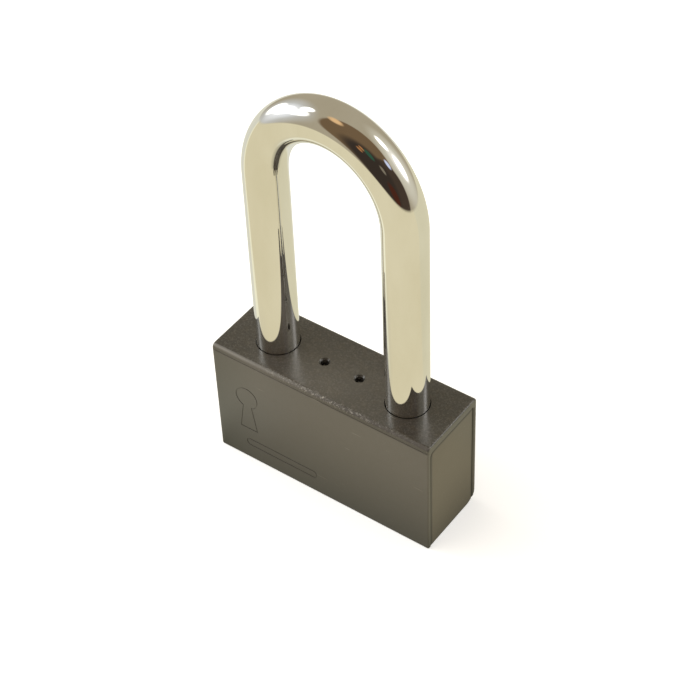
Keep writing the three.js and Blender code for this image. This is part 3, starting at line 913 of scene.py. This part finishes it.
def plug():
    """The key plug, its head down, with a turned ring round its face and a groove for its circlip."""
    head = plug_high.x
    face = plug_low.z
    top = plug_high.z
    edge = 0.2
    ring_outer, ring_middle, ring_inner = head - 0.8, head - 0.95, head - 1.1
    ring_depth = 0.15
    profile = [
        (0, face),
        (ring_inner, face),
        (ring_middle, face + ring_depth),
        (ring_outer, face),
        (head - edge, face),
        (head, face + edge),
        (head, HEAD_TOP),
        (PLUG_RADIUS, HEAD_TOP),
        (PLUG_RADIUS, CLIP_GROOVE_LOW),
        (CLIP_GROOVE_RADIUS, CLIP_GROOVE_LOW),
        (CLIP_GROOVE_RADIUS, CLIP_GROOVE_HIGH),
        (PLUG_RADIUS, CLIP_GROOVE_HIGH),
        (PLUG_RADIUS, top - edge),
        (PLUG_RADIUS - edge, top),
        (0, top),
    ]
    mouth = 0.3  # how far the keyway's edges slope in at the face
    low, high = (-KEYWAY_HALF_WIDTH, -KEYWAY_HALF_LENGTH), (KEYWAY_HALF_WIDTH, KEYWAY_HALF_LENGTH)
    stations = ((face - PAST, -mouth - PAST), (face + mouth, 0), (KEYWAY_TOP, 0))
    keyway = upright(stations, lambda inset: rounded_rectangle(low, high, (0.5,) * 4, inset, 5))
    cutters = [keyway, tail_slot(tail_low.z - GAP, top + PAST), *chambers(PLUG_RADIUS, 0.05)]
    stand_for("plug", combined(turned(profile, BORE_SIDES), cutters))


def plug_circlip():
    """An open spring ring in the plug's groove."""
    inner = CLIP_GROOVE_RADIUS + 0.1
    outer = clip_high.y
    half_opening = 30  # degrees
    end_taper = 0.25
    steps = 60
    rings = []
    for i in range(steps + 1):
        angle = math.radians(half_opening + (360 - 2 * half_opening) * i / steps)
        outward = Vector((math.cos(angle), math.sin(angle), 0))
        taper = end_taper if i in (0, steps) else 0.0
        low, high = (inner + taper, clip_low.z), (outer - taper, clip_high.z)
        section = rounded_rectangle(low, high, (0.1,) * 4, steps=3)
        rings.append([outward * radius + Z_AXIS * z for radius, z in section])
    stand_for("plug_circlip", loft(rings))


def cylinder_housing():
    """The barrel round the plug, with the lobe that holds the outer half of the pin stacks."""
    edge = 0.25
    foot, top = housing_low.z, housing_high.z
    barrel = turned(((0, foot), (HOUSING_RADIUS - edge, foot), (HOUSING_RADIUS, foot + edge),
                     (HOUSING_RADIUS, top - edge), (HOUSING_RADIUS - edge, top), (0, top)), BORE_SIDES)
    half_height = (LOBE_TOP - foot) / 2
    low, high = (HOUSING_BORE / 2, -LOBE_HALF_WIDTH), (housing_high.x, LOBE_HALF_WIDTH)
    radii = (0, LOBE_EDGE, LOBE_EDGE, 0)
    stations = rounded_ends(half_height, edge)
    lobe = upright(stations, lambda inset: rounded_rectangle(low, high, radii, inset), foot + half_height)
    body = combined(barrel, [lobe], "UNION")
    barrel_bore = turned(((0, foot - PAST), (HOUSING_BORE, foot - PAST), (HOUSING_BORE, top + PAST),
                          (0, top + PAST)), BORE_SIDES)
    # the chambers are cut first: the other order leaves two small holes in the mesh
    stand_for("cylinder_housing", combined(body, [*chambers(housing_high.x, 0.1), barrel_bore]))


def pin_along_x(node, profile_for):
    """A turned piece of a pin stack. profile_for(length, radius) starts at the plug's side."""
    low, high, middle = box_and_middle(node)
    profile = profile_for(high.x - low.x, (high.y - low.y) / 2)
    stand_for(node, turned(profile, PIN_SIDES, (low.x, 0, middle.z), X_AXIS))


def key_pin(length, radius):
    """A blunt cone that rests in the key's dimple, under a bevelled end at the shear line."""
    cone = ((0, 0), (0.35, 0), (0.5, 0.1), (radius, 0.75))
    bevel = ((radius, length - 0.25), (radius - 0.12, length - 0.07), (radius - 0.3, length), (0, length))
    return cone + bevel


def driver_pin(length, radius):
    """A spool-shaped driver, which is hard to pick."""
    waist = radius - 0.22
    at_shear_line = ((0, 0), (radius - 0.3, 0), (radius, 0.25), (radius, 0.7))
    spool = ((waist, 0.95), (waist, length - 1.1))
    at_spring = ((radius, length - 0.85), (radius, length - 0.15), (radius - 0.15, length), (0, length))
    return at_shear_line + spool + at_spring


def chamber_cap(length, radius):
    """A disc that closes a chamber, with a punched dimple in its outside."""
    edge = 0.12
    dimple = 0.15
    rim = ((0, 0), (radius - edge, 0), (radius, edge), (radius, length - edge), (radius - edge, length))
    return rim + ((0.5, length), (0.3, length - dimple), (0, length - dimple))


def pin_stacks():
    """The five stacks, each spring with a mesh of its own."""
    for i in STACKS:
        pin_along_x(f"key_pin_{i}", key_pin)
        pin_along_x(f"driver_pin_{i}", driver_pin)
        pin_along_x(f"chamber_cap_{i}", chamber_cap)
        coil = spring(f"pin_spring_{i}", X_AXIS, wire=0.19, turns=6)
        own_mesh(coil)


sleeve()
lock_block()
bottom_plate()
for screw_node in SCREWS:
    bottom_screw(screw_node)
for pin_node in ("sleeve_pin_left", "sleeve_pin_right"):
    sleeve_pin(pin_node)
retaining_pin()
shackle()
spring("shackle_spring", Z_AXIS, wire=0.25, turns=9)
for ball_node in ("locking_ball_left", "locking_ball_right"):
    locking_ball(ball_node)
ball_cam()
tailpiece()
plug()
plug_circlip()
cylinder_housing()
pin_stacks()


# ------------------------------------------------------------------ camera, floor and light

CAMERA_AZIMUTH = 37.31
CAMERA_ELEVATION = 44.21
CAMERA_ROLL = math.radians(-2.491)
CAMERA_DISTANCE = 0.4773
CAMERA_LENS = 101.69
LOOK_AT = Vector((0.00274, 0, 0.04436))
FLOOR_RADIUS = 3.0
FLOOR_DROP = 0.00005  # keeps the floor off the case's underside, which is seen from below
TABLE_RADIUS = 0.55  # of the part of the floor that shows in reflections
LAMP_DISTANCE = 0.9


def direction(azimuth, elevation):
    """Unit vector towards a compass point: azimuth 0 is the padlock's front, 90 its toe end."""
    a, e = math.radians(azimuth), math.radians(elevation)
    return Vector((math.sin(a) * math.cos(e), -math.cos(a) * math.cos(e), math.sin(e)))


def make_camera():
    """The camera at the photo's angle. It has no shift and no depth of field."""
    back = direction(CAMERA_AZIMUTH, CAMERA_ELEVATION)
    right = (-back).cross(Z_AXIS).normalized()
    up = right.cross(-back)
    cos, sin = math.cos(CAMERA_ROLL), math.sin(CAMERA_ROLL)
    rolled_right = cos * right + sin * up
    rolled_up = cos * up - sin * right
    data = bpy.data.cameras.new("camera")
    data.sensor_width = 36
    data.lens = CAMERA_LENS
    data.clip_start, data.clip_end = 0.01, 20
    camera = bpy.data.objects.new("camera", data)
    turn = Matrix((rolled_right, rolled_up, back)).transposed()
    camera.matrix_world = Matrix.Translation(LOOK_AT + back * CAMERA_DISTANCE) @ turn.to_4x4()
    bpy.context.scene.collection.objects.link(camera)
    bpy.context.scene.camera = camera


def near_the_case(nodes, reach):
    """1 at the case's foot, falling to 0 at reach in metres in front of it, and sooner past its ends."""
    past_foot = nodes.vector("SUBTRACT", nodes.vector("ABSOLUTE", nodes.place), cad_high)
    past_foot = nodes.vector("MAXIMUM", past_foot)
    away = nodes.length(nodes.vector("MULTIPLY", past_foot, (2.6, 1, 0)))
    return nodes.ramp(away, 0.0, reach, 1.0, 0.0)


def mirrored_table(nodes):
    """The table's colour in reflections: warm, lit in strips by the window, dark round the case."""
    front_tone = (0.74, 0.675, 0.465, 1)
    back_tone = (0.70, 0.66, 0.475, 1)
    window_light = (0.95, 0.92, 0.70, 1)
    window_haze = (0.75, 0.74, 0.63, 1)
    cool_shade = (0.42, 0.42, 0.38, 1)
    case_shade = (0.36, 0.345, 0.25, 1)
    x, y, _ = nodes.axes()
    to_the_left = nodes.ramp(x, -0.030, -0.020, 1.0, 0.0)
    lit_strip = nodes.product(to_the_left, nodes.ramp(y, -0.034, -0.028))
    hazy_strip = nodes.product(to_the_left, nodes.ramp(y, -0.014, -0.008))
    low_left = nodes.nearness((-0.040, -0.020, 0), 0.036)
    tone = nodes.mix(nodes.ramp(y, 0.02, 0.03), front_tone, back_tone)
    tone = nodes.mix(lit_strip, tone, window_light)
    tone = nodes.mix(hazy_strip, tone, window_haze)
    tone = nodes.mix(nodes.product(low_left, 0.25), tone, cool_shade)
    return nodes.mix(near_the_case(nodes, 0.022), tone, case_shade)


def make_floor():
    """A pale table top: white to the eye, and in reflections a warm disc. It shows from above only."""
    bm = bmesh.new()
    bmesh.ops.create_circle(bm, cap_ends=True, segments=96, radius=FLOOR_RADIUS)
    floor = placed("floor", bm)
    nodes = Nodes("pale table")
    tree = nodes.tree
    tree.nodes.remove(nodes.shader)

    def blend(share, first, second):
        return nodes.add("ShaderNodeMixShader", {0: share, 1: first, 2: second}).outputs[0]

    paper = nodes.add("ShaderNodeBsdfDiffuse", {"Color": (0.80, 0.80, 0.79, 1)}).outputs[0]
    glow = nodes.add("ShaderNodeEmission", {"Color": (1, 1, 1, 1), "Strength": 0.6}).outputs[0]
    seen = nodes.add("ShaderNodeAddShader", {0: paper, 1: glow}).outputs[0]
    warm = nodes.add("ShaderNodeEmission", {"Color": mirrored_table(nodes), "Strength": 1.0}).outputs[0]
    nothing = nodes.add("ShaderNodeBsdfTransparent").outputs[0]
    past_edge = nodes.ramp(nodes.length(nodes.place), TABLE_RADIUS * 0.9, TABLE_RADIUS * 1.2)
    to_eye = nodes.add("ShaderNodeLightPath").outputs["Is Camera Ray"]
    from_below = nodes.add("ShaderNodeNewGeometry").outputs["Backfacing"]
    from_above = blend(to_eye, blend(past_edge, warm, nothing), seen)
    one_sided = blend(from_below, from_above, nothing)
    tree.links.new(one_sided, tree.nodes["Material Output"].inputs["Surface"])
    floor.data.materials.append(nodes.material)
    floor.location.z = -FLOOR_DROP


def make_fill_light():
    """A large soft lamp that lights the padlock without showing as a shape in its plating."""
    data = bpy.data.lights.new("fill", "AREA")
    data.size = 1.0
    data.energy = 5
    data.color = (1.0, 0.98, 0.94)
    light = bpy.data.objects.new("fill", data)
    towards = direction(-60, 60)
    light.location = LOOK_AT + towards * LAMP_DISTANCE
    light.rotation_mode = "QUATERNION"
    light.rotation_quaternion = towards.to_track_quat("Z", "Y")
    light.visible_glossy = False
    bpy.context.scene.collection.objects.link(light)


# What the plating mirrors. Each patch of the room has its compass direction, its radius and the
# width of its soft edge in degrees, and its colour. Later patches lie over earlier ones.
CEILING = (0.41, 0.36, 0.26, 1)
ROOM = (
    ((-78, 12), 26, 40, (0.62, 0.63, 0.62, 1)),  # haze round the left window
    ((125, 22), 30, 36, (0.66, 0.63, 0.52, 1)),  # and round the right one
    ((-76, 15), 16, 22, (0.95, 0.97, 1.0, 1)),
    ((126, 25), 14, 16, (0.95, 0.92, 0.84, 1)),
    ((25, 34), 49, 5, (0.165, 0.108, 0.058, 1)),  # the unlit side of the room
    ((60, 10), 29, 5, (0.060, 0.042, 0.030, 1)),
    ((24, 10), 33, 16, (0.040, 0.030, 0.023, 1)),
    ((-30, 64), 7, 8, (0.79, 0.51, 0.26, 1)),  # a lamp on its ceiling
    ((10, 26), 3, 2, (0.42, 0.19, 0.07, 1)),  # things that stand there
    ((16, 33), 3, 2, (0.42, 0.19, 0.07, 1)),
    ((27, 32), 6, 3, (0.03, 0.09, 0.055, 1)),
    ((42, 22), 4, 3, (0.22, 0.19, 0.14, 1)),
    ((42, -1), 9, 7, (0.07, 0.021, 0.012, 1)),
    ((76, 35), 5, 3, (0.62, 0.68, 0.90, 1)),
    ((-93, 8), 7, 14, (3.0, 3.0, 2.9, 1)),  # the left window
    ((-77, 17), 7, 17, (2.4, 2.4, 2.35, 1)),
    ((-60, 26), 6, 15, (2.6, 2.6, 2.5, 1)),
    ((-72, 42), 4, 12, (3.0, 3.0, 2.9, 1)),
    ((126, 20), 6, 17, (2.4, 2.35, 2.3, 1)),  # the right window
    ((136, 44), 4, 12, (3.2, 3.1, 3.0, 1)),
)


def make_world():
    """The room round the table, as soft-edged patches that only reflections see. The eye sees white."""
    world = bpy.data.worlds.new("studio")
    bpy.context.scene.world = world
    world.use_nodes = True
    tree = world.node_tree

    def blended(share, first, second):
        node = tree.nodes.new("ShaderNodeMix")
        node.data_type = "RGBA"
        tree.links.new(share, node.inputs[0])
        for socket, colour in ((node.inputs[6], first), (node.inputs[7], second)):
            if isinstance(colour, tuple):
                socket.default_value = colour
            else:
                tree.links.new(colour, socket)
        return node.outputs[2]

    towards = tree.nodes.new("ShaderNodeTexCoord").outputs["Generated"]
    room = CEILING
    for compass, radius, softness, colour in ROOM:
        outer = math.radians(radius + softness / 2)
        inner = math.radians(max(radius - softness / 2, 0))
        closeness = tree.nodes.new("ShaderNodeVectorMath")
        closeness.operation = "DOT_PRODUCT"
        closeness.inputs[1].default_value = direction(*compass)
        tree.links.new(towards, closeness.inputs[0])
        share = tree.nodes.new("ShaderNodeMapRange")
        share.interpolation_type = "SMOOTHSTEP"
        share.inputs["From Min"].default_value = math.cos(outer)
        share.inputs["From Max"].default_value = math.cos(inner)
        tree.links.new(closeness.outputs["Value"], share.inputs["Value"])
        room = blended(share.outputs["Result"], room, colour)
    to_eye = tree.nodes.new("ShaderNodeLightPath").outputs["Is Camera Ray"]
    tree.links.new(blended(to_eye, room, (1, 1, 1, 1)), tree.nodes["Background"].inputs["Color"])


make_camera()
make_floor()
make_world()
make_fill_light()
bpy.context.scene.view_settings.view_transform = "Standard"
